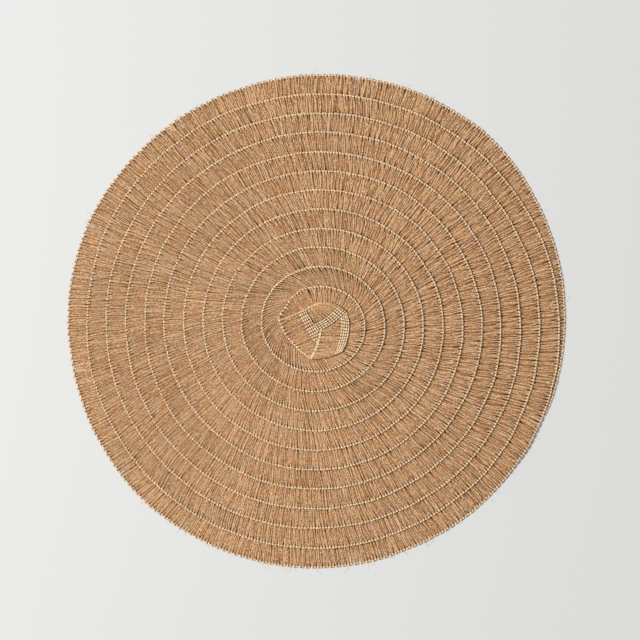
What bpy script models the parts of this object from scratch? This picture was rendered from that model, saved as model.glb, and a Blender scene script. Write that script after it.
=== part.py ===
"""A round placemat: one knitted paper-yarn tape, folded over twice at its start and coiled flat.

The tape has a selvedge of four chains along its inner edge, which is hidden under the turn before,
and a row of loops along its outer edge, which lies on the selvedge of the turn after. The start is
folded into three crossing lengths that close the middle. The end tucks in under the rim.
"""

import math

import bpy
import numpy as np

# Driving dimensions, in metres.
TAPE_THICKNESS = 0.0010
LAYER_GAP = 0.0003
SELVEDGE_TO_CHAIN = 0.0205
LOOPS_PAST_CHAIN = 0.0011
TURN_PITCH = 0.0148
START_RADIUS = 0.0244
MAT_OVAL = 0.00165
COIL_CENTRE = (0.0016, -0.0037)

# The coil runs clockwise. Angles are in degrees, anticlockwise from +X, and a turn is 360 of them.
START_ANGLE = 250.0
COIL_FROM_TURN = 145.0 / 360.0
END_TURN = 11.0 + 272.5 / 360.0
COARSE_STEP = 15.0
FINE_STEP = 7.5
FINE_FROM_TURN = COIL_FROM_TURN + 3.0
RIM_TUCK_TURNS = (-74.5 / 360.0, 5.5 / 360.0)
RIM_DROP_TURNS = 15.0 / 360.0

# How far from the tips of its loops the tape starts to climb on to the turn after, and is up there.
CLIMB = (0.0141, 0.0078)
FIRST_TURN_CLIMB = (0.0098, 0.0072)
FIRST_TURN_ENDS = (1.05, 1.15)
FOLD_CLIMB = (0.0176, 0.0116)

FOLD_RADIUS = (TAPE_THICKNESS + LAYER_GAP) / 2
FOLD_STEPS = 6

# The folded start, in millimetres from the coil's centre. Each section across the tape runs from its
# selvedge to its chain, bows sideways by its bow, and lies at a level counted in layers.
SECTION_COLUMNS = ("edge_x", "edge_y", "chain_x", "chain_y", "bow", "edge_level", "chain_level")
TOP_LENGTH = (
    (1.3, -5.3, -8.1, 12.2, 0.0, 2.6, 2.0),
    (12.3, 1.4, -4.0, 14.2, 0.8, 2.0, 2.0),
    (21.8, 9.9, 0.3, 16.1, 2.8, 2.0, 2.0),
)
CROSS_LENGTH = (
    (21.8, 9.9, 0.3, 16.1, 2.8, 1.0, 1.0),
    (24.0, 4.9, 1.7, 8.4, 1.2, 1.0, 1.0),
    (24.6, -2.1, 2.6, 0.1, 0.3, 1.0, 1.0),
    (23.5, -9.6, 1.7, -9.0, 0.0, 1.0, 1.9),
    (21.5, -16.0, -1.1, -17.6, -0.6, 2.0, 2.2),
    (18.9, -20.6, -5.6, -26.2, -1.5, 2.1, 2.1),
)
LOWER_LENGTH = (
    (18.9, -20.6, -5.6, -26.2, -1.5, 1.1, 1.1),
    (11.3, -15.8, -9.6, -23.3, -0.5, 1.1, 1.1),
    (5.3, -11.4, -13.8, -19.7, 0.0, 1.0, 1.0),
    (0.5, -5.9, -18.8, -14.4, 0.0, 0.0, 1.0),
    (-2.4, -0.4, -23.1, -9.8, 0.0, 0.3, 1.0),
    (-5.7, 5.7, -27.2, -2.3, 0.0, 0.7, 1.0),
    (-8.9, 11.6, -29.7, 5.3, 0.0, 1.0, 1.0),
)
CORNER = (
    (-8.8, 12.0, -28.4, 9.1, 0.0, 0.6, 1.0),
    (-8.4, 12.4, -24.2, 13.5, 0.0, 0.2, 1.0),
    (-7.4, 12.4, -18.3, 22.1, 0.0, 0.0, 1.0),
    (-3.7, 10.2, -10.2, 27.6, 0.0, 0.0, 1.0),
)

PAPER_TAN = (0.52, 0.31, 0.15, 1.0)


def clear_scene():
    for obj in list(bpy.data.objects):
        bpy.data.objects.remove(obj, do_unlink=True)


def paper_material():
    material = bpy.data.materials.new("paper_yarn")
    material.use_nodes = True
    shader = material.node_tree.nodes["Principled BSDF"]
    shader.inputs["Base Color"].default_value = PAPER_TAN
    shader.inputs["Roughness"].default_value = 0.85
    shader.inputs["Metallic"].default_value = 0.0
    return material


def smooth(value, low, high):
    """0 below low, 1 above high, and an even S-shaped rise between them."""
    t = min(max((value - low) / (high - low), 0.0), 1.0)
    return t * t * (3.0 - 2.0 * t)


def height(level):
    """The middle of the tape's thickness, at a level counted in layers from the table."""
    return TAPE_THICKNESS / 2 + level * (TAPE_THICKNESS + LAYER_GAP)


def section_row(edge, chain, tip, bow, levels, climb):
    """Four points across the tape, from its selvedge to its loops. It climbs between the middle two."""
    edge, chain = np.array(edge), np.array(chain)
    along = (chain - edge) / np.linalg.norm(chain - edge)
    sideways = np.array((along[1], -along[0]))
    width = np.linalg.norm(chain - edge) + tip
    row = []
    for from_tip, level in zip((width, *climb, 0.0), (levels[0], *levels, levels[1])):
        share = 1.0 - from_tip / width
        place = edge + along * share * width + sideways * bow * 4.0 * share * (1.0 - share)
        row.append((*place, height(level)))
    return np.array(row)


def folded_length(table, climb):
    """The rows of one length of the folded start."""
    centre, rows = np.array(COIL_CENTRE), []
    for section in table:
        value = dict(zip(SECTION_COLUMNS, section))
        edge = centre + (value["edge_x"] / 1000.0, value["edge_y"] / 1000.0)
        chain = centre + (value["chain_x"] / 1000.0, value["chain_y"] / 1000.0)
        levels = (value["edge_level"], value["chain_level"])
        bow = value["bow"] / 1000.0
        rows.append(section_row(edge, chain, LOOPS_PAST_CHAIN, bow, levels, climb))
    return rows


def fold_over(upper, lower, outwards):
    """The rows of a flat fold, which carry the tape round a half circle from one layer to the next."""
    outwards = np.array((*outwards, 0.0)) / math.hypot(*outwards)
    rows = []
    for step in range(1, FOLD_STEPS):
        angle = math.pi * step / FOLD_STEPS
        middle = (upper + lower) / 2
        middle[:, 2] += math.cos(angle) * FOLD_RADIUS
        rows.append(middle + outwards * math.sin(angle) * FOLD_RADIUS)
    return rows


def coil_row(turn):
    """The tape's section where it has gone this many turns from the start."""
    angle = math.radians(START_ANGLE - 360.0 * turn)
    radial = np.array((math.cos(angle), math.sin(angle)))
    chain_radius = START_RADIUS + TURN_PITCH * turn + MAT_OVAL * math.cos(2.0 * angle)
    edge_radius = chain_radius - SELVEDGE_TO_CHAIN
    tucked = smooth(turn - END_TURN, *RIM_TUCK_TURNS)
    tip_radius = chain_radius + LOOPS_PAST_CHAIN - tucked * TURN_PITCH
    covered_turn = END_TURN - 1.0 + FINE_STEP / 360.0
    chain_level = 1.0 - smooth(turn, covered_turn, covered_turn + RIM_DROP_TURNS)
    first = smooth(turn, *FIRST_TURN_ENDS)
    climb = [a + (b - a) * first for a, b in zip(FIRST_TURN_CLIMB, CLIMB)]
    left = (tip_radius - edge_radius) / (SELVEDGE_TO_CHAIN + LOOPS_PAST_CHAIN)
    climb = [distance * left for distance in climb]
    centre = np.array(COIL_CENTRE)
    edge, tip = centre + radial * edge_radius, centre + radial * tip_radius
    return section_row(edge, tip, 0.0, 0.0, (0.0, chain_level), climb)


def coil_turns():
    """How far round each of the coil's rows is. The rows of all turns lie on the same spokes."""
    turn, turns = COIL_FROM_TURN, []
    while turn < END_TURN + 1e-6:
        turns.append(turn)
        turn += (COARSE_STEP if turn < FINE_FROM_TURN - 1e-6 else FINE_STEP) / 360.0
    return turns


def tape_rows():
    """Every row from the tape's cut end at the middle of the mat to its other end under the rim."""
    top, cross, lower = (folded_length(t, FOLD_CLIMB) for t in (TOP_LENGTH, CROSS_LENGTH, LOWER_LENGTH))
    rows = top + fold_over(top[-1], cross[0], (0.28, 0.96)) + cross
    rows += fold_over(cross[-1], lower[0], (0.22, -0.97)) + lower
    rows += folded_length(CORNER, FIRST_TURN_CLIMB)
    return np.array(rows + [coil_row(turn) for turn in coil_turns()])


def tape_mesh(rows):
    """An open strip through the rows, one quad between each two neighbours."""
    count, across = rows.shape[:2]
    quads = [
        (i * across + k, i * across + k + 1, (i + 1) * across + k + 1, (i + 1) * across + k)
        for i in range(count - 1)
        for k in range(across - 1)
    ]
    mesh = bpy.data.meshes.new("coiled_tape")
    mesh.from_pydata(rows.reshape(-1, 3).tolist(), [], quads)
    mesh.validate()
    mesh.shade_smooth()
    mesh.set_sharp_from_angle(angle=math.radians(40.0))
    return mesh


def coiled_tape(collection):
    """The whole tape as one solid of even thickness."""
    tape = bpy.data.objects.new("coiled_tape", tape_mesh(tape_rows()))
    tape.data.materials.append(paper_material())
    collection.objects.link(tape)
    wall = tape.modifiers.new("thickness", "SOLIDIFY")
    wall.thickness = TAPE_THICKNESS
    wall.offset = 0.0
    wall.use_even_offset = True
    return tape


def main():
    clear_scene()
    collection = bpy.data.collections.new("round_placemat")
    bpy.context.scene.collection.children.link(collection)
    coiled_tape(collection)


main()
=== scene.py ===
"""A round placemat of knitted paper-yarn tape, coiled flat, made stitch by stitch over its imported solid."""

import math

import bpy
import numpy as np
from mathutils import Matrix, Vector


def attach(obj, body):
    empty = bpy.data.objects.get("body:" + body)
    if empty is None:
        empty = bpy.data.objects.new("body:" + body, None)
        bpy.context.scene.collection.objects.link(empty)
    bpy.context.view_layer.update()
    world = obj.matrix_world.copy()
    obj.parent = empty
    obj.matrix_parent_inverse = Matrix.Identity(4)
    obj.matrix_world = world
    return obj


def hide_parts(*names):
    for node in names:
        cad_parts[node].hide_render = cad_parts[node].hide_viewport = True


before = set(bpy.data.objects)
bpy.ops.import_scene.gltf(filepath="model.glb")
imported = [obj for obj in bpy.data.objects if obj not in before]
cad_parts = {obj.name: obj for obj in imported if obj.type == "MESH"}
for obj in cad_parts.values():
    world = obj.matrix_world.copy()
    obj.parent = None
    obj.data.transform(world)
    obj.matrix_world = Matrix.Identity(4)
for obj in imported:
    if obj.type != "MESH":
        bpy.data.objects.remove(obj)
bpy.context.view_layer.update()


# ---- The tape and its inner yarn
# The placemat is one long tape, knitted from paper yarn. It starts with three lengths folded over one
# another, then coils clockwise, each turn's loops on the selvedge of the next, and its end tucks in under
# the rim. This piece is the yarn deep in the tape, from chain to selvedge, and the tape's underside.

COURSE_STEP = 0.00235
TAPE_WIDTH = 0.0216
LOOPS_PAST_CHAIN = 0.0009
SELVEDGE_BAND = 0.0064
MOST_BAND_SHARE = 0.3
LAYER_STEP = 0.0012
LAYER_MIDDLE = 0.0005

# The coil's line, its slips off a true round, and how its end draws in under the turn before.
COIL_CENTRE = np.array((0.0016, -0.0037))
START_ANGLE = 250.0
START_RADIUS = 0.0244
TURN_PITCH = 0.0148
MAT_OVAL = 0.00165
SLIP_RIGHT = 0.00055
SLIP_UP = 0.00037
SLIP_DOWN_A_TURN = 0.00015
SETTLING_TURNS = (0.45, 1.0)
COIL_FROM_TURN = 145.0 / 360.0
END_TURN = 11.0 + 272.5 / 360.0
TUCK_BEFORE_END = (72.5, 67.5, 44.5, 37.5, 21.5, 12.5, 6.5, 2.5, 0.0)
TUCK_SHARE = (0.0, 0.06, 0.44, 0.55, 0.73, 0.84, 0.88, 0.92, 0.97)
# Where the rim stands in or out: an angle, by how much, and the spread in degrees.
RIM_DIPS = ((195.0, -0.0012, 13.0), (130.0, -0.0006, 25.0), (68.0, 0.0006, 8.0))
# Wanders of the loops and of the lean, each over so many courses and of such a size.
LOOP_DRIFTS = ((2.5, 0.00016), (9, 0.0002))
LEAN_DRIFTS = ((14, 3.5), (4, 1.5))
FINE_STEPS = 20001
TAPE_SEED = 11

# Each section across the folded start: its course, its selvedge and its chain in millimetres from the
# coil's centre, its sideways bow, the layer that each edge lies in, and where it climbs between the two,
# from the loops.
TOP_LENGTH = (
    (0, -2.4, -7.7, -10.3, 9.6, 0.0, 1.3, 1.2, 17.6, 11.6),
    (2, 1.3, -5.3, -8.1, 12.2, 0.0, 2.1, 1.6, 17.6, 11.6),
    (7.5, 12.3, 1.4, -4.0, 14.2, 0.8, 2.0, 2.0, 17.6, 11.6),
    (13, 21.8, 9.9, 0.3, 16.1, 2.8, 2.0, 2.0, 17.6, 11.6),
)
CROSS_LENGTH = (
    (14, 21.8, 9.9, 0.3, 16.1, 2.8, 1.0, 1.0, 17.6, 11.6),
    (17, 24.0, 4.9, 1.7, 8.4, 1.2, 1.0, 1.0, 17.6, 11.6),
    (20.2, 24.6, -2.1, 2.6, 0.1, 0.3, 1.0, 1.0, 17.6, 11.6),
    (23.7, 23.5, -9.6, 1.7, -9.0, 0.0, 1.0, 2.1, 17.6, 11.6),
    (27.2, 21.5, -16.0, -1.1, -17.6, -0.6, 2.0, 2.2, 17.6, 11.6),
    (31, 18.9, -20.6, -5.6, -26.2, -1.5, 2.1, 2.1, 17.6, 11.6),
)
LOWER_LENGTH = (
    (32, 18.9, -20.6, -5.6, -26.2, -1.5, 1.1, 1.1, 17.6, 11.6),
    (35.7, 11.3, -15.8, -9.6, -23.3, -0.5, 1.1, 1.1, 17.6, 11.6),
    (38.8, 5.3, -11.4, -13.8, -19.7, 0.0, 1.0, 1.0, 16.0, 10.0),
    (41.8, 0.5, -5.9, -18.8, -14.4, 0.0, 2.2, 1.0, 15.0, 9.0),
    (44.3, -2.4, -0.4, -22.5, -11.0, 0.0, 2.7, 1.0, 15.0, 9.0),
    (47.2, -5.7, 5.7, -26.4, -4.4, 0.0, 2.5, 1.1, 15.0, 9.0),
    (50, -8.9, 11.6, -29.7, 2.8, 0.0, 1.7, 1.0, 15.0, 9.0),
)
CORNER = (
    (51, -13.4, -5.6, -29.7, 5.6, 0.0, 0.0, 1.0, 5.5, 3.2),
    (54.2, -7.4, 1.9, -24.2, 13.5, 0.0, 0.0, 1.0, 6.5, 4.0),
    (58.5, -6.8, 5.1, -18.3, 22.1, 0.0, 0.0, 1.0, 8.5, 5.5),
    (62.5, -2.4, 8.7, -10.2, 27.5, 0.0, 0.0, 1.0, 9.8, 7.2),
)
CUT_COURSE = 50
COIL_FROM_COURSE = 63.6
FIRST_COIL_COURSE = 64
FOLDED_TURN = 0.3

# How far inside its loops the coiled tape starts and ends its climb onto the next turn, in the first turn
# and later, and the stretch of the last turn where it comes down to the table.
FIRST_CLIMB = (0.0098, 0.0072)
LATER_CLIMB = (0.0143, 0.0034)
CLIMB_CHANGES = (1.05, 1.15)
COMING_DOWN = (7.5 / 360, 22.5 / 360)

# How far the yarn leans back from straight out, in degrees, by turn, and where the tape reaches further
# in under the folded start.
LEAN_TURNS = (0.40, 0.43, 0.475, 0.52, 0.6, 0.75, 0.9, 1.05, 1.5, 1.8, 2.4, 3.5, 4.5, 6.0, 10.0, 11.0, 12.0)
LEAN_DEGREES = (3, 6, 13, 17, 15, 14.5, 22, 33, 32, 14, 19, 14, 10, 7, 6, 3, 1)
REACH_TURNS = (0.9, 1.05, 1.2, 1.34, 1.5, 1.7)
REACH_EXTRA = (0.0, 0.0024, 0.0038, 0.0036, 0.0026, 0.0)
CHORD_LEAN = 0.75
BOWED_LEAN = 0.35

# The inner yarn and the underside: three ends to a course, and the backs of the chains.
YARN_ENDS = 3
CORE_DEPTHS = np.array((1.2, 5.2, 8.8, 12.4, 16.2, 21.5)) / 1000.0
CORE_THICKNESS = 0.00015
CORE_SUNK = 0.00025
CORE_OPEN_SHARE = 0.06
RIM_COURSES = 500
CLOSED_END_COURSES = 90
DIPPING_COURSES = (39, 45)
DIP_REACH = 0.002
DIP_DROP = 0.0018
FACING_DOWN = -0.5
CORE_SEED = 17
CORE_SHADOW = (0.45, 0.0, -0.22, -0.12, 0.55, 0.45)
STREAKS_PER_COURSE = 5.0
STREAKS_PER_METRE = 110.0
STREAK_DEPTH = 1.2
INNER_DARK = (0.090, 0.037, 0.012, 1.0)
INNER_TAN = (0.40, 0.207, 0.088, 1.0)
YARN_TAN = (0.663, 0.392, 0.200, 1.0)
YARN_PALE = (0.80, 0.540, 0.319, 1.0)
UNDER_CHAINS = (0.0013, 0.0159, 0.0176, 0.0193, 0.0210)
UNDER_CHAIN_REACH = 0.0009
UNDER_CHAIN_RELIEF = 1.2
UNDER_COTTON = (0.86, 0.68, 0.45, 1.0)
UNDER_STREAK = 1.6
UNDER_ROUND_SHADE = 0.45
UNDER_LEVEL = -0.75


def rise(value, low, high):
    """0 below low, 1 above high, with an even S-shaped rise between them."""
    t = np.clip((value - low) / (high - low), 0.0, 1.0)
    return t * t * (3.0 - 2.0 * t)


def drift(count, reach, size, rng):
    """A slow wander about zero, that changes over about this many steps."""
    steps = np.arange(-math.ceil(3 * reach), math.ceil(3 * reach) + 1)
    bell = np.exp(-0.5 * (steps / reach) ** 2)
    walk = np.convolve(rng.normal(size=count + len(steps) - 1), bell, "valid")
    return size * walk / math.sqrt((bell**2).sum())


def through(table, courses):
    """The sections of one folded length at these courses, on smooth curves through its table."""
    table = np.array(table, float)
    knots, values = table[:, 0], table[:, 1:]
    slopes = np.gradient(values, knots, axis=0)
    k = np.clip(np.searchsorted(knots, courses, "right") - 1, 0, len(knots) - 2)
    span = (knots[k + 1] - knots[k])[:, None]
    t = (courses - knots[k])[:, None] / span
    near = (1 + 2 * t) * (1 - t) ** 2 * values[k] + t * (1 - t) ** 2 * span * slopes[k]
    far = t * t * (3 - 2 * t) * values[k + 1] + t * t * (t - 1) * span * slopes[k + 1]
    return near + far


def tucked(turn):
    """How far the end of the tape has drawn in under the turn before, from 0 to 1."""
    return np.interp(360.0 * (turn - END_TURN), -np.array(TUCK_BEFORE_END), TUCK_SHARE)


def tip_radius(turn, angle):
    """Where the tips of the loops lie, from the coil's centre."""
    settled = rise(turn, *SETTLING_TURNS)
    slip_right = SLIP_RIGHT * settled
    slip_up = SLIP_UP * settled - SLIP_DOWN_A_TURN * (turn - 1.0) * settled
    return (
        START_RADIUS
        + LOOPS_PAST_CHAIN
        + TURN_PITCH * (turn - tucked(turn))
        + MAT_OVAL * np.cos(2 * np.radians(angle))
        + slip_right * np.cos(np.radians(angle))
        + slip_up * np.sin(np.radians(angle))
    )


def way_to(angles):
    """Ways of length 1 in these directions, in degrees."""
    return np.stack((np.cos(np.radians(angles)), np.sin(np.radians(angles))), 1)


# One row of numbers for each course: selvedge x and y, loop tip x and y, bow, the two layers, the climb.
fine_turns = np.linspace(COIL_FROM_TURN, END_TURN, FINE_STEPS)
turn_length = tip_radius(fine_turns, START_ANGLE - 360 * fine_turns) * 2 * math.pi
fine_steps = (turn_length[1:] + turn_length[:-1]) / 2 * np.diff(fine_turns) / COURSE_STEP
fine_courses = COIL_FROM_COURSE + np.concatenate(([0.0], np.cumsum(fine_steps)))
COURSES = int(fine_courses[-1]) // 2 * 2
rng = np.random.default_rng(TAPE_SEED)

coil_courses = np.arange(FIRST_COIL_COURSE, COURSES)
coil_turns = np.interp(coil_courses, fine_courses, fine_turns)
coil_angles = START_ANGLE - 360.0 * coil_turns
lean = np.interp(coil_turns, LEAN_TURNS, LEAN_DEGREES)
lean += sum(drift(len(lean), courses, size, rng) for courses, size in LEAN_DRIFTS)
wander = sum(drift(len(lean), courses, size, rng) for courses, size in LOOP_DRIFTS)
in_last_turn = rise(coil_turns, END_TURN - 1.05, END_TURN - 0.95)
for angle, size, spread in RIM_DIPS:
    away = (coil_angles - angle + 180.0) % 360.0 - 180.0
    wander += size * np.exp(-0.5 * (away / spread) ** 2) * in_last_turn
tips = (tip_radius(coil_turns, coil_angles) + wander)[:, None] * way_to(coil_angles)
chord = CHORD_LEAN * lean
reach = TAPE_WIDTH - tucked(coil_turns) * TURN_PITCH + np.interp(coil_turns, REACH_TURNS, REACH_EXTRA)
reach = (reach / np.cos(np.radians(chord)))[:, None]
edges = tips - way_to(coil_angles + chord) * reach
bows = reach * np.tan(np.radians(BOWED_LEAN * lean))[:, None] / 4
last_climb = np.array(CORNER[-1][8:]) / 1000.0
coil_rows = np.hstack((edges, tips, bows, np.zeros((len(lean), 2)), np.tile(last_climb, (len(lean), 1))))

folded_rows = []
for table in (TOP_LENGTH, CROSS_LENGTH, LOWER_LENGTH, CORNER):
    last = table[-1][0] if table is not CORNER else FIRST_COIL_COURSE - 1
    sections = through(table, np.arange(table[0][0], last + 1.0))
    sections[:, [0, 1, 2, 3, 4, 7, 8]] /= 1000.0
    inwards = sections[:, 2:4] - sections[:, 0:2]
    inwards /= np.linalg.norm(inwards, axis=1)[:, None]
    sections[:, 2:4] += inwards * LOOPS_PAST_CHAIN
    folded_rows.append(sections)
course_rows = np.vstack(folded_rows + [coil_rows])
course_turns = np.concatenate((np.full(len(course_rows) - len(coil_turns), FOLDED_TURN), coil_turns))
course_lean = np.concatenate((np.zeros(len(course_rows) - len(lean)), lean))
is_coil = (np.arange(len(course_rows)) >= FIRST_COIL_COURSE).astype(float)


def lie(courses, depths):
    """Points on the tape's middle surface, at these courses and these distances from the loop tips."""
    courses = np.clip(courses, 0, len(course_rows) - 1.001)
    low = courses.astype(int)
    part = (courses - low)[..., None]
    row = course_rows[low] * (1 - part) + course_rows[low + 1] * part
    edge, tip = row[..., 0:2], row[..., 2:4]
    bow, edge_layer, tip_layer, climb_from, climb_to = np.moveaxis(row[..., 4:], -1, 0)
    along = tip - edge
    width = np.linalg.norm(along, axis=-1)
    along = along / width[..., None]
    # A wider or narrower row takes up the difference between the loops and the selvedge band.
    band = np.minimum(SELVEDGE_BAND, MOST_BAND_SHARE * width)
    slack = (width - band) / (TAPE_WIDTH - SELVEDGE_BAND)
    in_band = depths > TAPE_WIDTH - SELVEDGE_BAND
    depths = np.where(in_band, width - (TAPE_WIDTH - depths) * band / SELVEDGE_BAND, depths * slack)
    share = 1.0 - depths / width
    sideways = np.stack((along[..., 1], -along[..., 0]), -1)
    place = edge + along * (share * width)[..., None]
    place = place + sideways * (bow * 4.0 * share * (1.0 - share))[..., None]
    folded = edge_layer + (tip_layer - edge_layer) * rise(-depths, -climb_from, -climb_to)
    # On the coil the tape climbs by its distance inside the loops of its own turn.
    turn = course_turns[low] * (1 - part[..., 0]) + course_turns[low + 1] * part[..., 0]
    angle = np.degrees(np.arctan2(place[..., 1], place[..., 0]))
    here = (START_ANGLE - angle) / 360.0
    here = turn + (here - turn) - np.round(here - turn)
    inside = tip_radius(here, angle) - np.hypot(place[..., 0], place[..., 1])
    later = rise(turn, *CLIMB_CHANGES)
    far = FIRST_CLIMB[0] + (LATER_CLIMB[0] - FIRST_CLIMB[0]) * later
    near = FIRST_CLIMB[1] + (LATER_CLIMB[1] - FIRST_CLIMB[1]) * later
    on_next = 1.0 - rise(here, END_TURN - 1.0 + COMING_DOWN[0], END_TURN - 1.0 + COMING_DOWN[1])
    coiled = on_next * np.clip((far - inside) / (far - near), 0.0, 1.0)
    on_coil = is_coil[low]
    layer = coiled * on_coil + folded * (1 - on_coil)
    return np.concatenate((place + COIL_CENTRE, (LAYER_MIDDLE + LAYER_STEP * layer)[..., None]), -1)


def connect(tree, node, links):
    """Links inputs of the node to sockets, or sets them to values."""
    for key, value in links.items():
        if isinstance(value, bpy.types.NodeSocket):
            tree.links.new(value, node.inputs[key])
        else:
            node.inputs[key].default_value = value


def add_node(tree, kind, links=None, **settings):
    """A node with its settings made, and its inputs linked or set."""
    made = tree.nodes.new(kind)
    for key, value in settings.items():
        setattr(made, key, value)
    connect(tree, made, links or {})
    return made


def maths(tree, operation, *values):
    """The result of one step of arithmetic on sockets and numbers."""
    return add_node(tree, "ShaderNodeMath", dict(enumerate(values)), operation=operation).outputs[0]


def sum_of(tree, value, times, plus):
    """The socket value x times + plus."""
    return maths(tree, "MULTIPLY_ADD", value, times, plus)


def carried(tree, name, output="Fac"):
    """What the mesh carries under this name, for its material."""
    return add_node(tree, "ShaderNodeAttribute", attribute_name=name).outputs[output]


def noise(tree, place, scale, detail):
    """A soft random pattern about 0.5."""
    links = {"Vector": place, "Scale": scale, "Detail": detail}
    return add_node(tree, "ShaderNodeTexNoise", links).outputs["Fac"]


def colour_of(tree, value, first, last, *between):
    """The colour that the value picks from these stops, each a position and a colour."""
    ramp = add_node(tree, "ShaderNodeValToRGB", {"Fac": value})
    stops = ramp.color_ramp.elements
    stops[0].position, stops[0].color = first
    stops[1].position, stops[1].color = last
    for position, colour in between:
        stops.new(position).color = colour
    return ramp.outputs["Color"]


def relief_of(tree, height, strength, distance):
    """The slopes that a fine relief gives to the surface."""
    links = {"Height": height, "Strength": strength, "Distance": distance}
    return add_node(tree, "ShaderNodeBump", links).outputs["Normal"]


def new_material(name):
    """A material, its tree of nodes and its shader."""
    material = bpy.data.materials.new(name)
    material.use_nodes = True
    return material, material.node_tree, material.node_tree.nodes["Principled BSDF"]


def inner_yarn():
    """The same paper deep in the bundles, where little light comes."""
    material, tree, shader = new_material("inner_yarn")
    streak = noise(tree, carried(tree, "weave", "Vector"), 1.0, 3.0)
    depth = sum_of(tree, streak, STREAK_DEPTH, carried(tree, "shadow"))
    looks = {
        "Base Color": colour_of(tree, depth, (0.2, INNER_TAN), (0.8, INNER_DARK)),
        "Normal": relief_of(tree, streak, 0.5, 0.0002),
        "Roughness": 0.9,
        "Specular IOR Level": 0.1,
    }
    connect(tree, shader, looks)
    return material


def under_yarn():
    """The tape's underside: the ends side by side, with the backs of the chains across them."""
    material, tree, shader = new_material("under_yarn")
    weave = carried(tree, "weave", "Vector")
    split = add_node(tree, "ShaderNodeSeparateXYZ", {"Vector": weave}).outputs
    course = sum_of(tree, split["X"], 1.0 / STREAKS_PER_COURSE, 0.0)
    depth = sum_of(tree, split["Y"], 1.0 / STREAKS_PER_METRE, 0.0)
    # The yarn, with painted shade across each round end, darker at its sides where the ends meet, and a
    # little paler or deeper from one end to the next.
    across = maths(tree, "SINE", sum_of(tree, course, YARN_ENDS * math.pi, 0.0))
    round_end = maths(tree, "ABSOLUTE", across)
    rounded_shade = sum_of(tree, round_end, UNDER_ROUND_SHADE, UNDER_LEVEL)
    shade = sum_of(tree, noise(tree, weave, 0.8, 3.0), UNDER_STREAK, rounded_shade)
    yarn = colour_of(tree, shade, (0.0, INNER_TAN), (0.85, YARN_PALE), (0.35, YARN_TAN))
    # The backs of the chains, a short dash for each course.
    dash = maths(tree, "ABSOLUTE", maths(tree, "SINE", sum_of(tree, course, math.pi, 0.0)))
    chains = None
    for line in UNDER_CHAINS:
        aside = maths(tree, "ABSOLUTE", sum_of(tree, depth, 1.0, -line))
        chain = sum_of(tree, aside, -1.0 / UNDER_CHAIN_REACH, dash)
        chains = maths(tree, "MAXIMUM", chains, chain) if chains else chain
    reach = {"Value": chains, "From Min": 0.25, "From Max": 0.4}
    cover = add_node(tree, "ShaderNodeMapRange", reach).outputs["Result"]
    colours = {"Factor": cover, 6: yarn, 7: UNDER_COTTON}
    height = sum_of(tree, cover, UNDER_CHAIN_RELIEF, round_end)
    looks = {
        "Base Color": add_node(tree, "ShaderNodeMix", colours, data_type="RGBA").outputs[2],
        "Normal": relief_of(tree, height, 0.9, 0.0003),
        "Roughness": 0.8,
        "Specular IOR Level": 0.3,
    }
    connect(tree, shader, looks)
    return material


def bundle_core(rng):
    """The web of inner ends that fills the bundles from chain to selvedge, open here and there at the rim."""
    after_cut = np.arange(CUT_COURSE + 1, FIRST_COIL_COURSE)
    on_coil = np.arange(FIRST_COIL_COURSE, COURSES, 2)
    points, weaves, quads = [], [], []
    across = len(CORE_DEPTHS)
    for courses in (np.arange(0, CUT_COURSE + 1), np.concatenate((after_cut, on_coil))):
        start = sum(len(p) for p in points)
        depths = np.tile(CORE_DEPTHS, (len(courses), 1))
        # At the centre the inner ends reach on past the selvedge, down under the next length.
        dips = (courses >= DIPPING_COURSES[0]) & (courses <= DIPPING_COURSES[1])
        depths[dips, -1] += DIP_REACH
        middle = lie(np.repeat(courses[:, None].astype(float), across, 1), depths)
        middle[dips, -1, 2] -= DIP_DROP
        middle[..., 2] = np.maximum(middle[..., 2] - CORE_SUNK, CORE_THICKNESS)
        points.append(middle.reshape(-1, 3))
        along_tape = np.repeat(courses[:, None] * STREAKS_PER_COURSE, across, 1)
        weaves.append(np.stack((along_tape, depths * STREAKS_PER_METRE, 0 * depths), -1).reshape(-1, 3))
        open_here = rng.random(len(courses)) < CORE_OPEN_SHARE
        open_here &= (courses > COURSES - RIM_COURSES) & (courses < COURSES - CLOSED_END_COURSES)
        for i in range(len(courses) - 1):
            for k in range(2 if open_here[i] else 0, across - 1):
                a = start + i * across + k
                quads.append((a, a + 1, a + across + 1, a + across))
    mesh = bpy.data.meshes.new("bundle_core")
    mesh.from_pydata(np.concatenate(points).tolist(), [], quads)
    layer = mesh.attributes.new("shadow", "FLOAT", "POINT")
    layer.data.foreach_set("value", np.tile(CORE_SHADOW, len(mesh.vertices) // across).astype(np.float32))
    layer = mesh.attributes.new("weave", "FLOAT_VECTOR", "POINT")
    layer.data.foreach_set("vector", np.concatenate(weaves).astype(np.float32).ravel())
    mesh.materials.append(inner_yarn())
    core = bpy.data.objects.new("bundle_core", mesh)
    bpy.context.scene.collection.objects.link(core)
    wall = core.modifiers.new("thickness", "SOLIDIFY")
    wall.thickness = CORE_THICKNESS
    wall.offset = 0.0
    graph = bpy.context.evaluated_depsgraph_get()
    solid = bpy.data.meshes.new_from_object(core.evaluated_get(graph), depsgraph=graph)
    core.modifiers.clear()
    core.data = solid
    solid.materials.append(under_yarn())
    normals = np.empty(len(solid.polygons) * 3, np.float32)
    solid.polygons.foreach_get("normal", normals)
    solid.polygons.foreach_set("material_index", (normals[2::3] < FACING_DOWN).astype(np.int32))
    return core


core_piece = bundle_core(np.random.default_rng(CORE_SEED))
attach(core_piece, "root")
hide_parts("coiled_tape")


# ---- The paper yarn
# Three ends of tan twisted paper run together across the tape and back, a course at a time. At the outer
# edge two courses are joined by a loop, and at the selvedge the chains pull the next two together.

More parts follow.
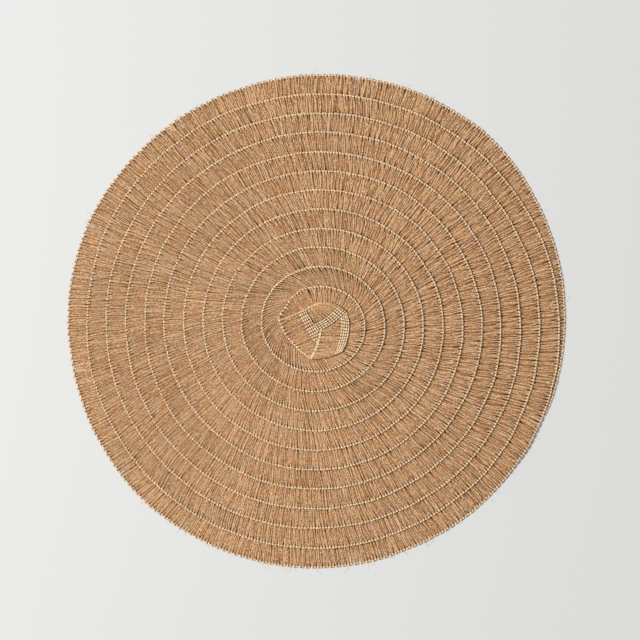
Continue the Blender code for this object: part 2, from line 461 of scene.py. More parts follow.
YARN_THICKNESS = 0.00071
YARN_SIDES = 4
YARN_UNEVENNESS = 0.06
YARN_SEED = 20
YARN_NODE_SEED = 40
STRETCHES = (
    ("yarn_folded_start", 0, FIRST_COIL_COURSE),
    ("yarn_turns_1_to_5", FIRST_COIL_COURSE, 690),
    ("yarn_turns_6_to_8", 690, 1500),
    ("yarn_turns_9_and_10", 1500, 2400),
    ("yarn_outer_turns", 2400, COURSES),
)

# Places across the tape, in metres inside the loop tips, and how the three ends lie at each: spread over
# the course, turned towards the course's partner, along a bend, strayed, and plumped. Sideways measures
# are in courses.
STATION_DEPTHS = np.array((1.1, 5.2, 8.8, 12.4, 16.2, 21.0)) / 1000.0
STATION_SPREAD = np.array((0.67, 1.0, 1.04, 1.0, 0.70, 0.76))
STATION_PAIRING = np.array((0.06, 0.01, 0.0, -0.03, -0.09, -0.08))
STATION_SHARE = np.array((0.0, 0.27, 0.5, 0.73, 0.93, 1.0))
STATION_ASTRAY = np.array((0.0, 0.35, 0.65, 1.0, 0.8, 0.2))
STATION_PLUMP = np.array((0.92, 1.0, 1.0, 1.0, 0.92, 0.9))
ENDS_APART = 0.305
SECOND_BEND = 0.45
RIPPLE = 0.5
BUNDLE_BENDS = (0.06, 0.03)
SINGLE_BENDS = (0.10, 0.15)

# Where the yarn lies looser or tighter, thicker or thinner, and drawn together.
FOLDED_LOOSENESS = 0.3
FANNED_LOOSENESS = 1.1
LAST_OPEN_COURSE = 7
TIGHT_COURSES = (14, 31)
TIGHT_LOOSENESS = 0.12
OPEN_SIDE = 25.0
OPEN_AMOUNT = 0.55
GATHERED_BY = 0.22
GATHERED_TURNS = ((0.8, 1.0), (1.5, 1.9))
FOLDED_SWELL = 0.12
FANNED_THINNING = 0.36
LEAN_THINNING = 2.2
SWELL_DRIFT = (25, 0.03)
THICKNESS_SPREADS = (0.08, 0.05)

# Every second end stands proud, painted lighter as lit, the others painted darker as shaded; heights and
# tones also differ from end to end, and along each end.
PROUD_BY = 0.00007
PROUD_PAINTED_LIGHT = 0.11
HEIGHT_SPREADS = (0.00006, 0.00005)
# The folded start's yarn is painted a little darker: painted shade.
FOLDED_PAINTED_SHADE = 0.07
TINT_DRIFT = (30, 0.015)
BUNDLE_TINT_SPREAD = 0.01
TINT_SPREADS = (0.14, 0.07)

# The loops past the edge chain, for each of the three ends: depths in millimetres, starts in courses.
LOOP_DEPTHS = (0.42, 0.62, 0.90)
LOOP_STARTS = (0.06, 0.16, 0.26)
LOOP_HEIGHTS = (0.00005, 0.00035, -0.00020)
LOOP_START_SPREAD = 0.03
LOOP_HEIGHT_SPREAD = 0.00005
LOOP_PLUMP = 1.08
RIM_LOOP_SHADE = 0.8

# The yarn's colours, how its mottle, flecks and dye change them, and the painted shade and highlight of its
# twist.
YARN_DEEP = (0.42, 0.21, 0.087, 1.0)
PATCH_SCALE = 38.0
PATCHES = 0.10
MOTTLE_SCALE = 800.0
MOTTLE = 0.8
FLECK_SCALE = 950.0
FLECKS = 1.9
SHADE_LEVEL = 0.3
DYE_SCALE = 260.0
HUE_SPREAD = 0.05
BLEACH_SCALE = 330.0
SATURATION_SPREAD = 0.6
FIBRE_SCALE = 3200.0
TWIST_LENGTH = 0.0018
TWIST_SLOPE = 1.0
TWIST_WANDER = 0.6
TWIST_SHADE = 0.20
TWIST_RELIEF = 0.5

# Loose fibres at the rim: how many, how much likelier near the front than elsewhere, and how they curl.
LOOSE_FIBRES = 80
FIBRES_FRONT = 285.0
FRONT_LIKELIER = 4.0
FRONT_SPREAD = 30.0
FIBRE_DEPTH = 0.0009
FIBRE_LENGTHS = (0.003, 0.008)
FIBRE_STEPS = 8
FIBRE_THICKNESS = 0.00012
FIBRE_TIP = 0.6
FIBRE_SIDES = 3
FIBRE_TURNS = (0.7, 0.22, 0.25)
FIBRE_SINKING = 2.5
FIBRE_SEED = 33


def bends(count, bow, slant, rng):
    """Smooth sideways bends of so many strands, at each station, in courses."""
    once = rng.normal(size=(count, 1)) * np.sin(math.pi * STATION_SHARE)
    twice = rng.normal(size=(count, 1)) * np.sin(2 * math.pi * STATION_SHARE)
    astray = rng.normal(size=(count, 1)) * STATION_ASTRAY
    ripple = RIPPLE * rng.normal(size=(count, len(STATION_SHARE)))
    return bow * (once + SECOND_BEND * twice + ripple) + slant * astray


def spread_out(shape, of_end, along_end, rng):
    """Random numbers that differ from end to end by one size, and along each end by another."""
    return rng.normal(size=(shape[0], 1)) * of_end + rng.normal(size=shape) * along_end


def yarn_path(first, last, rng):
    """The yarn over these courses: its places, relative thickness, tone with painted light and shade, and
    joining edges.
    """
    courses = np.arange(first, last)
    count = len(courses)
    odd = (courses % 2).astype(float)
    folded = courses < FIRST_COIL_COURSE
    tight = (courses >= TIGHT_COURSES[0]) & (courses <= TIGHT_COURSES[1])
    turn = course_turns[courses]
    loose = np.where(folded, FOLDED_LOOSENESS, 1.0)[:, None]
    loose[courses <= LAST_OPEN_COURSE] = FANNED_LOOSENESS
    loose[tight] = TIGHT_LOOSENESS
    towards_open = np.cos(np.radians(START_ANGLE - 360 * turn - OPEN_SIDE))[:, None]
    loose *= 1.0 + OPEN_AMOUNT * towards_open * ~folded[:, None]
    drawing, easing = (rise(turn, *stretch) for stretch in GATHERED_TURNS)
    gathered = 1.0 - GATHERED_BY * (drawing * (1.0 - easing))[:, None]
    bundle = bends(count, *BUNDLE_BENDS, rng) * loose
    swell = drift(count, *SWELL_DRIFT, rng) + FOLDED_SWELL * folded
    swell[courses <= LAST_OPEN_COURSE] -= FANNED_THINNING
    swell[tight] += FOLDED_SWELL
    # Where the yarn leans over, its ends lie closer together and draw thinner.
    swell += np.cos(np.radians(course_lean[courses])) ** LEAN_THINNING - 1.0
    bundle_tone_and_painted_shade = drift(count, *TINT_DRIFT, rng) + rng.normal(size=count) * BUNDLE_TINT_SPREAD
    # The folded start is painted a little darker: painted shade.
    bundle_tone_and_painted_shade[folded] -= FOLDED_PAINTED_SHADE
    places, plump, tones_and_painted_shading, joins = [], [], [], []
    for end in range(YARN_ENDS):
        side = (end - 1) * (1.0 - 2.0 * odd)
        spread = side[:, None] * ENDS_APART * STATION_SPREAD * gathered
        paired = (0.5 - odd)[:, None] * 2.0 * STATION_PAIRING * loose
        single = bends(count, *SINGLE_BENDS, rng) * loose
        at = courses[:, None] + spread + paired + bundle + single
        points = lie(at, np.broadcast_to(STATION_DEPTHS, at.shape))
        # Every second end rides a little higher; it is painted lighter, a painted highlight, and the others
        # painted darker, painted shade.
        proud = (1.0 - 2.0 * ((courses + end) % 2))[:, None]
        points[..., 2] += PROUD_BY * proud + spread_out(at.shape, *HEIGHT_SPREADS, rng)
        size = STATION_PLUMP * (1.0 + swell[:, None] + spread_out(at.shape, *THICKNESS_SPREADS, rng))
        tone_and_painted_shading = bundle_tone_and_painted_shade[:, None] + PROUD_PAINTED_LIGHT * proud + spread_out(at.shape, *TINT_SPREADS, rng)
        # A loop's shoulder stands past the chain of each course, and leans towards its partner.
        start_spread = rng.normal(size=count) * LOOP_START_SPREAD
        shoulder_at = courses + (1.0 - 2.0 * odd) * LOOP_STARTS[end] + start_spread
        shoulder = lie(shoulder_at, np.full(count, LOOP_DEPTHS[end] / 1000.0))
        shoulder[:, 2] += LOOP_HEIGHTS[end] + rng.normal(size=count) * LOOP_HEIGHT_SPREAD
        row = np.concatenate((shoulder[:, None, :], points), 1)
        size = np.concatenate((np.full((count, 1), LOOP_PLUMP), size), 1)
        at_rim = (courses > COURSES - RIM_COURSES)[:, None]
        tone_and_painted_shading = np.concatenate((tone_and_painted_shading[:, :1] - RIM_LOOP_SHADE * at_rim, tone_and_painted_shading), 1)
        # The lowest yarn lies on the table.
        row[..., 2] = np.maximum(row[..., 2], 0.5 * YARN_THICKNESS * size)
        # Even courses are followed outwards and odd ones inwards, so that the yarn runs on.
        for values in (row, size, tone_and_painted_shading):
            values[courses % 2 == 0] = values[courses % 2 == 0, ::-1]
        start = sum(len(p) for p in places)
        chain = start + np.arange(row.shape[0] * row.shape[1])
        places.append(row.reshape(-1, 3))
        plump.append(size.ravel())
        tones_and_painted_shading.append(tone_and_painted_shading.ravel())
        joins.append(np.stack((chain[:-1], chain[1:]), 1))
    return tuple(np.concatenate(lists) for lists in (places, plump, tones_and_painted_shading, joins))


def fibre_paths(rng):
    """Fine loose fibres that have worked out of the rim and curl down to the table."""
    rim = np.flatnonzero(course_turns > END_TURN - 1.0)
    rim_angles = START_ANGLE - 360.0 * course_turns[rim]
    from_front = (rim_angles - FIBRES_FRONT + 180.0) % 360.0 - 180.0
    likely = 1.0 + FRONT_LIKELIER * np.exp(-0.5 * (from_front / FRONT_SPREAD) ** 2)
    chosen = rng.choice(len(rim), LOOSE_FIBRES, replace=False, p=likely / likely.sum())
    roots = lie(rim[chosen] + 0.5, np.full(LOOSE_FIBRES, FIBRE_DEPTH))
    step = rng.uniform(*FIBRE_LENGTHS, LOOSE_FIBRES)[:, None] / FIBRE_STEPS
    heading = np.radians(rim_angles[chosen])[:, None]
    heading = heading + rng.normal(size=(LOOSE_FIBRES, 1)) * FIBRE_TURNS[0]
    curl = spread_out((LOOSE_FIBRES, FIBRE_STEPS), *FIBRE_TURNS[1:], rng)
    heading = heading + np.cumsum(curl, 1)
    ways = np.stack((np.cos(heading), np.sin(heading)), -1) * step[..., None]
    walk = np.concatenate((np.zeros((LOOSE_FIBRES, 1, 2)), np.cumsum(ways, 1)), 1)
    heights = roots[:, 2:] * np.exp(-np.arange(FIBRE_STEPS + 1) / FIBRE_SINKING) + FIBRE_THICKNESS
    places = np.concatenate((roots[:, None, :2] + walk, heights[..., None]), -1).reshape(-1, 3)
    starts = np.arange(len(places)).reshape(LOOSE_FIBRES, -1)
    joins = np.stack((starts[:, :-1].ravel(), starts[:, 1:].ravel()), 1)
    plump = np.tile(np.linspace(1.0, FIBRE_TIP, FIBRE_STEPS + 1), LOOSE_FIBRES)
    return places, plump, joins


def path_object(name, places, joins, numbers, vectors=()):
    """A bare path or cloud of points that carries named values, for a tree of nodes to build on."""
    mesh = bpy.data.meshes.new(name)
    mesh.vertices.add(len(places))
    mesh.vertices.foreach_set("co", np.asarray(places, np.float32).ravel())
    if len(joins):
        mesh.edges.add(len(joins))
        mesh.edges.foreach_set("vertices", np.asarray(joins, np.int32).ravel())
    for key, values in numbers:
        layer = mesh.attributes.new(key, "FLOAT", "POINT")
        layer.data.foreach_set("value", np.asarray(values, np.float32))
    for key, values in vectors:
        layer = mesh.attributes.new(key, "FLOAT_VECTOR", "POINT")
        layer.data.foreach_set("vector", np.asarray(values, np.float32).ravel())
    made = bpy.data.objects.new(name, mesh)
    bpy.context.scene.collection.objects.link(made)
    return made


def new_tree(name, sockets):
    """A tree of geometry nodes with these named inputs, and the sockets that bring them in."""
    tree = bpy.data.node_groups.new(name, "GeometryNodeTree")
    tree.interface.new_socket("Geometry", in_out="INPUT", socket_type="NodeSocketGeometry")
    for label, kind in sockets:
        tree.interface.new_socket(label, in_out="INPUT", socket_type="NodeSocket" + kind)
    tree.interface.new_socket("Geometry", in_out="OUTPUT", socket_type="NodeSocketGeometry")
    return tree, add_node(tree, "NodeGroupInput").outputs


def named(tree, name, kind="FLOAT"):
    """What the path carries under this name."""
    made = add_node(tree, "GeometryNodeInputNamedAttribute", {"Name": name}, data_type=kind)
    return made.outputs["Attribute"]


def store(tree, geometry, name, value):
    """The geometry with this value kept at each of its points."""
    links = {"Geometry": geometry, "Name": name, "Value": value}
    made = add_node(tree, "GeometryNodeStoreNamedAttribute", links, data_type="FLOAT", domain="POINT")
    return made.outputs["Geometry"]


def unevenness(tree, given):
    """A factor about 1 that differs from one point to the next."""
    links = {2: -1.0, 3: 1.0, "Seed": given["Seed"]}
    chance = add_node(tree, "FunctionNodeRandomValue", links, data_type="FLOAT")
    return sum_of(tree, chance.outputs[1], given["Unevenness"], 1.0)


def finish_tree(tree, geometry, material):
    """Ends the tree with one plain smooth mesh of this material."""
    real = add_node(tree, "GeometryNodeRealizeInstances", {"Geometry": geometry})
    soft = add_node(tree, "GeometryNodeSetShadeSmooth", {"Geometry": real.outputs["Geometry"]})
    links = {"Geometry": soft.outputs["Geometry"], "Material": material}
    dressed = add_node(tree, "GeometryNodeSetMaterial", links)
    add_node(tree, "NodeGroupOutput", {"Geometry": dressed.outputs["Geometry"]})


def grow(path, tree, values, name):
    """The plain mesh that the tree makes on the path with these values."""
    modifier = path.modifiers.new(tree.name, "NODES")
    modifier.node_group = tree
    for item in tree.interface.items_tree:
        if item.in_out == "INPUT" and item.name in values:
            modifier[item.identifier] = values[item.name]
    graph = bpy.context.evaluated_depsgraph_get()
    mesh = bpy.data.meshes.new_from_object(path.evaluated_get(graph), depsgraph=graph)
    mesh.name = name
    made = bpy.data.objects.new(name, mesh)
    bpy.context.scene.collection.objects.link(made)
    bpy.data.objects.remove(path, do_unlink=True)
    return made


def spun_yarn_tree():
    """Sweeps a round section along the path, as thick at each point as the path says."""
    sockets = (
        ("Yarn thickness", "Float"),
        ("Sides", "Int"),
        ("Unevenness", "Float"),
        ("Seed", "Int"),
        ("Material", "Material"),
    )
    tree, given = new_tree("spun_yarn", sockets)
    curve = add_node(tree, "GeometryNodeMeshToCurve", {"Mesh": given["Geometry"]})
    level = add_node(tree, "GeometryNodeSetCurveNormal", {"Curve": curve.outputs["Curve"]}, mode="Z_UP")
    sized = maths(tree, "MULTIPLY", named(tree, "plump"), unevenness(tree, given))
    thickness = maths(tree, "MULTIPLY", sized, given["Yarn thickness"])
    radius = maths(tree, "MULTIPLY", thickness, 0.5)
    links = {"Curve": level.outputs["Curve"], "Radius": radius}
    thick = add_node(tree, "GeometryNodeSetCurveRadius", links).outputs["Curve"]
    links = {"Resolution": given["Sides"], "Radius": 1.0}
    ring = add_node(tree, "GeometryNodeCurvePrimitiveCircle", links).outputs["Curve"]
    place = add_node(tree, "GeometryNodeSplineParameter").outputs
    sweep = {
        "Curve": store(tree, thick, "along", place["Length"]),
        "Profile Curve": store(tree, ring, "around", place["Factor"]),
        "Scale": radius,
        "Fill Caps": True,
    }
    tube = add_node(tree, "GeometryNodeCurveToMesh", sweep)
    finish_tree(tree, tube.outputs["Mesh"], given["Material"])
    return tree


def paper_yarn():
    """Tan twisted paper: each end a little paler or deeper, partly painted light and shade, mottled along its
    length, with painted shade in its twist's grooves, dry and matt.
    """
    material, tree, shader = new_material("paper_yarn")
    spot = add_node(tree, "ShaderNodeTexCoord").outputs["Object"]
    along = carried(tree, "along")
    # A place on the strand as if it were pulled straight, turning with the twist.
    around = sum_of(tree, carried(tree, "around"), TWIST_SLOPE, 0.0)
    turns = sum_of(tree, along, 1.0 / TWIST_LENGTH, around)
    facing = sum_of(tree, turns, 2.0 * math.pi, 0.0)
    straight = {
        "X": along,
        "Y": sum_of(tree, maths(tree, "COSINE", facing), YARN_THICKNESS / 2, 0.0),
        "Z": sum_of(tree, maths(tree, "SINE", facing), YARN_THICKNESS / 2, 0.0),
    }
    place = add_node(tree, "ShaderNodeCombineXYZ", straight).outputs[0]
    mottle = noise(tree, place, MOTTLE_SCALE, 0.0)
    unsteady = sum_of(tree, mottle, TWIST_WANDER, turns)
    twist = maths(tree, "SINE", maths(tree, "MULTIPLY", unsteady, 2.0 * math.pi))
    level = SHADE_LEVEL - 0.5 * MOTTLE - 0.5 * FLECKS
    patched = sum_of(tree, noise(tree, spot, PATCH_SCALE, 3.0), PATCHES, level)
    flecked = sum_of(tree, noise(tree, spot, FLECK_SCALE, 0.0), FLECKS, patched)
    mottled = sum_of(tree, mottle, MOTTLE, flecked)
    # The twist's grooves are painted darker and its ridges lighter: painted shade and highlight.
    twisted = sum_of(tree, twist, TWIST_SHADE, mottled)
    shade = maths(tree, "ADD", twisted, carried(tree, "tone_and_painted_shading"))
    dye = noise(tree, spot, DYE_SCALE, 3.0)
    bleach = noise(tree, spot, BLEACH_SCALE, 3.0)
    tinge = {
        "Color": colour_of(tree, shade, (0.0, YARN_DEEP), (0.75, YARN_PALE), (0.32, YARN_TAN)),
        "Hue": sum_of(tree, dye, HUE_SPREAD, 0.5 - HUE_SPREAD / 2),
        "Saturation": sum_of(tree, bleach, SATURATION_SPREAD, 1.0 - SATURATION_SPREAD / 2),
    }
    rough = {"Value": mottle, "To Min": 0.62, "To Max": 0.86}
    height = sum_of(tree, twist, TWIST_RELIEF, noise(tree, place, FIBRE_SCALE, 2.0))
    looks = {
        "Base Color": add_node(tree, "ShaderNodeHueSaturation", tinge).outputs["Color"],
        "Roughness": add_node(tree, "ShaderNodeMapRange", rough).outputs["Result"],
        "Normal": relief_of(tree, height, 0.35, 0.00012),
        "Specular IOR Level": 0.3,
        "Sheen Weight": 0.08,
        "Sheen Roughness": 0.5,
    }
    connect(tree, shader, looks)
    return material


yarn_tree = spun_yarn_tree()
yarn_values = {
    "Yarn thickness": YARN_THICKNESS,
    "Sides": YARN_SIDES,
    "Unevenness": YARN_UNEVENNESS,
    "Material": paper_yarn(),
}
yarn_pieces = []
for number, (name, first, last) in enumerate(STRETCHES):
    places, plump, tones_and_painted_shading, joins = yarn_path(first, last, np.random.default_rng(YARN_SEED + number))
    path = path_object(name + "_path", places, joins, (("plump", plump), ("tone_and_painted_shading", tones_and_painted_shading)))
    yarn_values["Seed"] = YARN_NODE_SEED + number
    yarn_pieces.append(grow(path, yarn_tree, yarn_values, name))
places, plump, joins = fibre_paths(np.random.default_rng(FIBRE_SEED))
path = path_object("loose_fibres_path", places, joins, (("plump", plump), ("tone_and_painted_shading", 0.0 * plump)))
fibre_values = yarn_values | {"Yarn thickness": FIBRE_THICKNESS, "Sides": FIBRE_SIDES}
yarn_pieces.append(grow(path, yarn_tree, fibre_values, "loose_fibres"))
for piece in yarn_pieces:
    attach(piece, "root")
    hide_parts("coiled_tape")


# ---- The chains
# Cream cotton chain stitch holds the yarn: one chain just inside the loops of the outer edge, and four,
# side by side, down the selvedge. Each stitch lies over one course of yarn and bites in beside it.

EDGE_CHAIN_DEPTH = 0.00105
EDGE_STITCH_WIDTH = 0.00076
EDGE_STITCH_HEIGHT = 0.00150
EDGE_STITCH_FILL = 1.0
EDGE_LEG_OFFSET = 0.00020
EDGE_LEG_SLANT = math.radians(9.0)
SELVEDGE_DEPTHS = (0.0210, 0.0193, 0.0176, 0.0159)
SELVEDGE_STITCH_WIDTH = 0.00118
SELVEDGE_STITCH_HEIGHT = 0.00140
SELVEDGE_STITCH_FILL = 1.02
INNER_CHAIN_COURSES = 1900

# At the start the fanned courses are stitched three together. From each course on, the edge stitches are
# so wide and so full, and then the selvedge stitches. Selvedge stitches under another turn are pressed
# flat, and left out where the folded start hides them.
LAST_FANNED_COURSE = 12
FANNED_STEP = 3
OPEN_STITCHES = (
    (0, 1.5, 1.0, 0.95, 1.10),
    (14, 1.55, 1.4, 1.0, 1.22),
    (32, 1.2, 1.05, 0.88, 1.10),
    (CUT_COURSE + 1, 1.0, 1.0, 1.0, 1.0),
)
PRESSED_STITCH = 0.68
HIDDEN_TURNS = (1.15, 1.32, 1.75)
STITCH_LIFT = 0.00014
STITCH_HEIGHT_SPREAD = 0.00004
STITCH_PLACE_SPREAD = 0.00006
STITCH_TURN_SPREAD = 0.05
STITCH_TINT_SPREAD = 0.07
STITCH_UNEVENNESS = 0.12
# On the left every second edge stitch is painted lighter and the others darker: painted light and shade.
LEFT_PAINTED_LIGHT = 0.24
LEFT_UNEVEN_GIRTH = 0.12
CHAIN_SEED = 60
CHAIN_NODE_SEED = 70

COTTON_CREAM = (1.0, 0.82, 0.56, 1.0)
COTTON_SHADE = (0.84, 0.61, 0.37, 1.0)
# Where a stitch bites in, its ends are painted dark: painted shadow.
COTTON_BITE_SHADOW = (0.24, 0.12, 0.05, 1.0)
BITE_FROM = 0.55
BITE_SHADE = 0.8


def stitch_points(depth, first, last, height, rng):
    """For each stitch of one chain: its place, the way it runs, its length, how it stands and its girth."""
    at_edge = depth == EDGE_CHAIN_DEPTH
    courses = np.arange(first, last, dtype=float)
    if at_edge:
        courses = courses[(courses > LAST_FANNED_COURSE) | (courses % FANNED_STEP == 1)]
    else:
        # Where the selvedge is folded away under the start, its stitches are left out.
        turns = course_turns[courses.astype(int)]
        hidden = (courses > CUT_COURSE) & (courses < FIRST_COIL_COURSE)
        last_hidden = HIDDEN_TURNS[2] if depth == SELVEDGE_DEPTHS[0] else HIDDEN_TURNS[1]
        hidden |= (turns > HIDDEN_TURNS[0]) & (turns < last_hidden)
        courses = courses[~hidden]
    depths = np.full(len(courses), depth)
    half = np.full(len(courses), 0.5)
    stand = np.ones(len(courses))
    if at_edge:
        half[courses <= LAST_FANNED_COURSE] = FANNED_STEP / 2
    else:
        stand[courses > CUT_COURSE] = PRESSED_STITCH
    before, after = courses - half, courses + half
    if not at_edge:
        after[courses == CUT_COURSE] = CUT_COURSE
    near, far = lie(before, depths), lie(after, depths)
    spots = (near + far) / 2
    bob = rng.normal(size=len(courses)) * STITCH_HEIGHT_SPREAD
    spots[:, 2] = lie(courses, depths)[:, 2] + STITCH_LIFT * stand**2 + bob
    spots[:, 2] = np.maximum(spots[:, 2], 0.5 * height * stand)
    spots[:, :2] += rng.normal(size=(len(courses), 2)) * STITCH_PLACE_SPREAD
    runs = far - near
    length = np.linalg.norm(runs, axis=1)
    runs[:, :2] += rng.normal(size=(len(courses), 2)) * STITCH_TURN_SPREAD * length[:, None]
    table = np.array(OPEN_STITCHES)
    sizes = table[np.searchsorted(table[:, 0], courses, "right") - 1, 1:]
    girth, fullness = (sizes[:, :2] if at_edge else sizes[:, 2:]).T
    return spots, runs, length * fullness, stand, girth


def chain_stitch_tree(name, legs):
    """Lays a stitch of one or two plump legs on each point, turned and stretched along its chain."""
    sockets = (
        ("Leg length", "Float"),
        ("Leg width", "Float"),
        ("Leg height", "Float"),
        ("Leg offset", "Float"),
        ("Leg slant", "Float"),
        ("Fill", "Float"),
        ("Unevenness", "Float"),
        ("Seed", "Int"),
        ("Material", "Material"),
    )
    tree, given = new_tree(name, sockets)
    ball = add_node(tree, "GeometryNodeMeshUVSphere", {"Segments": 4, "Rings": 3, "Radius": 0.5})
    # From 0 in the middle of a leg to 1 at its ends, where it bites in and the material paints shadow.
    spot = add_node(tree, "GeometryNodeInputPosition").outputs[0]
    away = maths(tree, "ABSOLUTE", add_node(tree, "ShaderNodeSeparateXYZ", {"Vector": spot}).outputs["Z"])
    marked = store(tree, ball.outputs["Mesh"], "bite", sum_of(tree, away, 2.0, 0.0))
    lying = {"Geometry": marked, "Rotation": (math.pi / 4, math.pi / 2, 0.0)}
    lying = add_node(tree, "GeometryNodeTransform", lying).outputs["Geometry"]
    sides = {"X": given["Leg length"], "Y": given["Leg width"], "Z": given["Leg height"]}
    shape = add_node(tree, "ShaderNodeCombineXYZ", sides).outputs[0]
    leg = add_node(tree, "GeometryNodeTransform", {"Geometry": lying, "Scale": shape})
    stitch = leg.outputs["Geometry"]
    if legs == 2:
        join = add_node(tree, "GeometryNodeJoinGeometry")
        for way in (1.0, -1.0):
            offset = maths(tree, "MULTIPLY", given["Leg offset"], way)
            slant = maths(tree, "MULTIPLY", given["Leg slant"], way)
            moved = {
                "Geometry": stitch,
                "Translation": add_node(tree, "ShaderNodeCombineXYZ", {"Y": offset}).outputs[0],
                "Rotation": add_node(tree, "ShaderNodeCombineXYZ", {"Z": slant}).outputs[0],
            }
            connect(tree, join, {0: add_node(tree, "GeometryNodeTransform", moved).outputs["Geometry"]})
        stitch = join.outputs["Geometry"]
    axes = {"Primary Axis": named(tree, "run", "FLOAT_VECTOR"), "Secondary Axis": (0.0, 0.0, 1.0)}
    facing = add_node(tree, "FunctionNodeAxesToRotation", axes, primary_axis="X", secondary_axis="Z")
    stretch = maths(tree, "DIVIDE", named(tree, "length"), given["Leg length"])
    scale = {
        "X": maths(tree, "MULTIPLY", stretch, given["Fill"]),
        "Y": maths(tree, "MULTIPLY", unevenness(tree, given), named(tree, "girth")),
        "Z": named(tree, "stand"),
    }
    laid = {
        "Points": given["Geometry"],
        "Instance": stitch,
        "Rotation": facing.outputs["Rotation"],
        "Scale": add_node(tree, "ShaderNodeCombineXYZ", scale).outputs[0],
    }
    laid = add_node(tree, "GeometryNodeInstanceOnPoints", laid)
    finish_tree(tree, laid.outputs["Instances"], given["Material"])
    return tree


def cotton_thread():
    """Cream cotton: soft, a little irregular in colour, with painted shadow where the stitch bites in."""
    material, tree, shader = new_material("cotton_thread")
    spot = add_node(tree, "ShaderNodeTexCoord").outputs["Object"]
    mottle = noise(tree, spot, 900.0, 3.0)
    twist = {"Vector": spot, "Scale": 900.0, "Distortion": 3.0}
    twist = add_node(tree, "ShaderNodeTexWave", twist).outputs["Fac"]
    painted_bite_shadow = maths(tree, "MAXIMUM", sum_of(tree, carried(tree, "bite"), 1.0, -BITE_FROM), 0.0)
    thread = sum_of(tree, mottle, 1.0, carried(tree, "tone_and_painted_shading"))
    shade = sum_of(tree, painted_bite_shadow, -BITE_SHADE, thread)
    rough = {"Value": mottle, "To Min": 0.7, "To Max": 0.9}
    looks = {
        "Base Color": colour_of(tree, shade, (0.0, COTTON_BITE_SHADOW), (0.6, COTTON_CREAM), (0.25, COTTON_SHADE)),
        "Roughness": add_node(tree, "ShaderNodeMapRange", rough).outputs["Result"],
        "Normal": relief_of(tree, twist, 0.3, 0.00008),
        "Specular IOR Level": 0.3,
        "Sheen Weight": 0.2,
    }
    connect(tree, shader, looks)
    return material


cotton_material = cotton_thread()
edge_tree = chain_stitch_tree("edge_chain_stitch", 2)
selvedge_tree = chain_stitch_tree("selvedge_chain_stitch", 1)
edge_stitch = (edge_tree, EDGE_STITCH_WIDTH, EDGE_STITCH_HEIGHT, EDGE_STITCH_FILL)
selvedge_stitch = (selvedge_tree, SELVEDGE_STITCH_WIDTH, SELVEDGE_STITCH_HEIGHT, SELVEDGE_STITCH_FILL)
CHAINS = (
    ("edge_chain", (EDGE_CHAIN_DEPTH,), 0, COURSES, edge_stitch),
    ("selvedge_chains_inner", SELVEDGE_DEPTHS, 0, INNER_CHAIN_COURSES, selvedge_stitch),
    ("selvedge_chains_outer", SELVEDGE_DEPTHS, INNER_CHAIN_COURSES, COURSES, selvedge_stitch),
)
chain_pieces = []
for number, (name, depths, first, last, (tree, width, height, fill)) in enumerate(CHAINS):
    rng = np.random.default_rng(CHAIN_SEED + number)
    parts = [stitch_points(depth, first, last, height, rng) for depth in depths]
    spots, runs, lengths, stands, girths = (np.concatenate(values) for values in zip(*parts))
    tones_and_painted_shading = rng.normal(size=len(spots)) * STITCH_TINT_SPREAD
    # On the left the edge chain was drawn unevenly, so that every second stitch is thicker; it is also
    # painted lighter and the others darker: painted light and shade.
    if tree is edge_tree:
        stitch_angles = np.arctan2(spots[:, 1], spots[:, 0])
        uneven_and_lit = np.maximum(0.0, -np.cos(stitch_angles)) * (np.arange(len(spots)) % 2 * 2.0 - 1.0)
        tones_and_painted_shading += LEFT_PAINTED_LIGHT * uneven_and_lit
        girths = girths * (1.0 + LEFT_UNEVEN_GIRTH * uneven_and_lit)
    numbers = (("length", lengths), ("stand", stands), ("girth", girths), ("tone_and_painted_shading", tones_and_painted_shading))
    path = path_object(name + "_path", spots, (), numbers, (("run", runs),))
    values = {
        "Leg length": COURSE_STEP,
        "Leg width": width,
        "Leg height": height,
        "Leg offset": EDGE_LEG_OFFSET,
        "Leg slant": EDGE_LEG_SLANT,
        "Fill": fill,
        "Unevenness": STITCH_UNEVENNESS,
        "Seed": CHAIN_NODE_SEED + number,
        "Material": cotton_material,
    }
    chain_pieces.append(grow(path, tree, values, name))
for piece in chain_pieces:
    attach(piece, "root")
    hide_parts("coiled_tape")


# ---- The table
# A plain pale table top with a dull painted face, one flat sheet wider than the view. The mat lies flat
# on it.

TABLE_SIDE = 6.0
TABLE_DROP = 0.0001
TABLE_PALE = (0.71, 0.715, 0.71, 1.0)

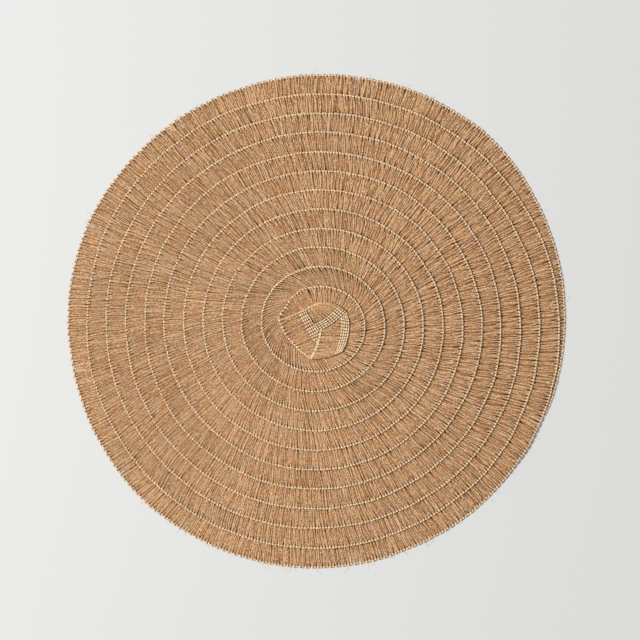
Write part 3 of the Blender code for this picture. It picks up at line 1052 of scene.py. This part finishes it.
half = TABLE_SIDE / 2
corners = [(x, y, -TABLE_DROP) for x, y in ((-half, -half), (half, -half), (half, half), (-half, half))]
table_mesh = bpy.data.meshes.new("table_top")
table_mesh.from_pydata(corners, [], [(0, 1, 2, 3)])
table_top = bpy.data.objects.new("table_top", table_mesh)
bpy.context.scene.collection.objects.link(table_top)
table_material, table_tree, table_shader = new_material("pale_table")
table_looks = {"Base Color": TABLE_PALE, "Roughness": 0.75, "Specular IOR Level": 0.2}
connect(table_tree, table_shader, table_looks)
table_mesh.materials.append(table_material)


# ---- The light and the camera
# A large soft light from the left and an even fill from all round, as near a window in a bright room, and
# a camera straight above the mat.

KEY_PLACE = (-2.4, 0.35, 2.7)
KEY_SIZE = 0.9
KEY_POWER = 117.0
KEY_COLOUR = (1.0, 0.99, 0.97)
FILL_LEVEL = 0.435
FILL_COLOUR = (1.0, 1.0, 1.0, 1.0)
CAMERA_ABOVE = (0.0036, -0.0003)
VIEW_ACROSS = 0.4902
CAMERA_LENS = 90.0
CAMERA_CLIP = (0.01, 20.0)
SENSOR = 36.0

key_data = bpy.data.lights.new("key_light", "AREA")
key_data.shape = "DISK"
key_data.size = KEY_SIZE
key_data.energy = KEY_POWER
key_data.color = KEY_COLOUR
key_light = bpy.data.objects.new("key_light", key_data)
key_light.location = KEY_PLACE
key_light.rotation_euler = Vector(KEY_PLACE).to_track_quat("Z", "Y").to_euler()
bpy.context.scene.collection.objects.link(key_light)

world = bpy.data.worlds.new("studio")
world.use_nodes = True
fill = {"Color": FILL_COLOUR, "Strength": FILL_LEVEL}
connect(world.node_tree, world.node_tree.nodes["Background"], fill)
bpy.context.scene.world = world
bpy.context.scene.view_settings.view_transform = "Standard"

camera_data = bpy.data.cameras.new("camera")
camera_data.lens = CAMERA_LENS
camera_data.sensor_width = SENSOR
camera_data.clip_start, camera_data.clip_end = CAMERA_CLIP
camera = bpy.data.objects.new("camera", camera_data)
camera.location = (*CAMERA_ABOVE, VIEW_ACROSS * CAMERA_LENS / SENSOR)
bpy.context.scene.collection.objects.link(camera)
bpy.context.scene.camera = camera

bpy.context.view_layer.update()
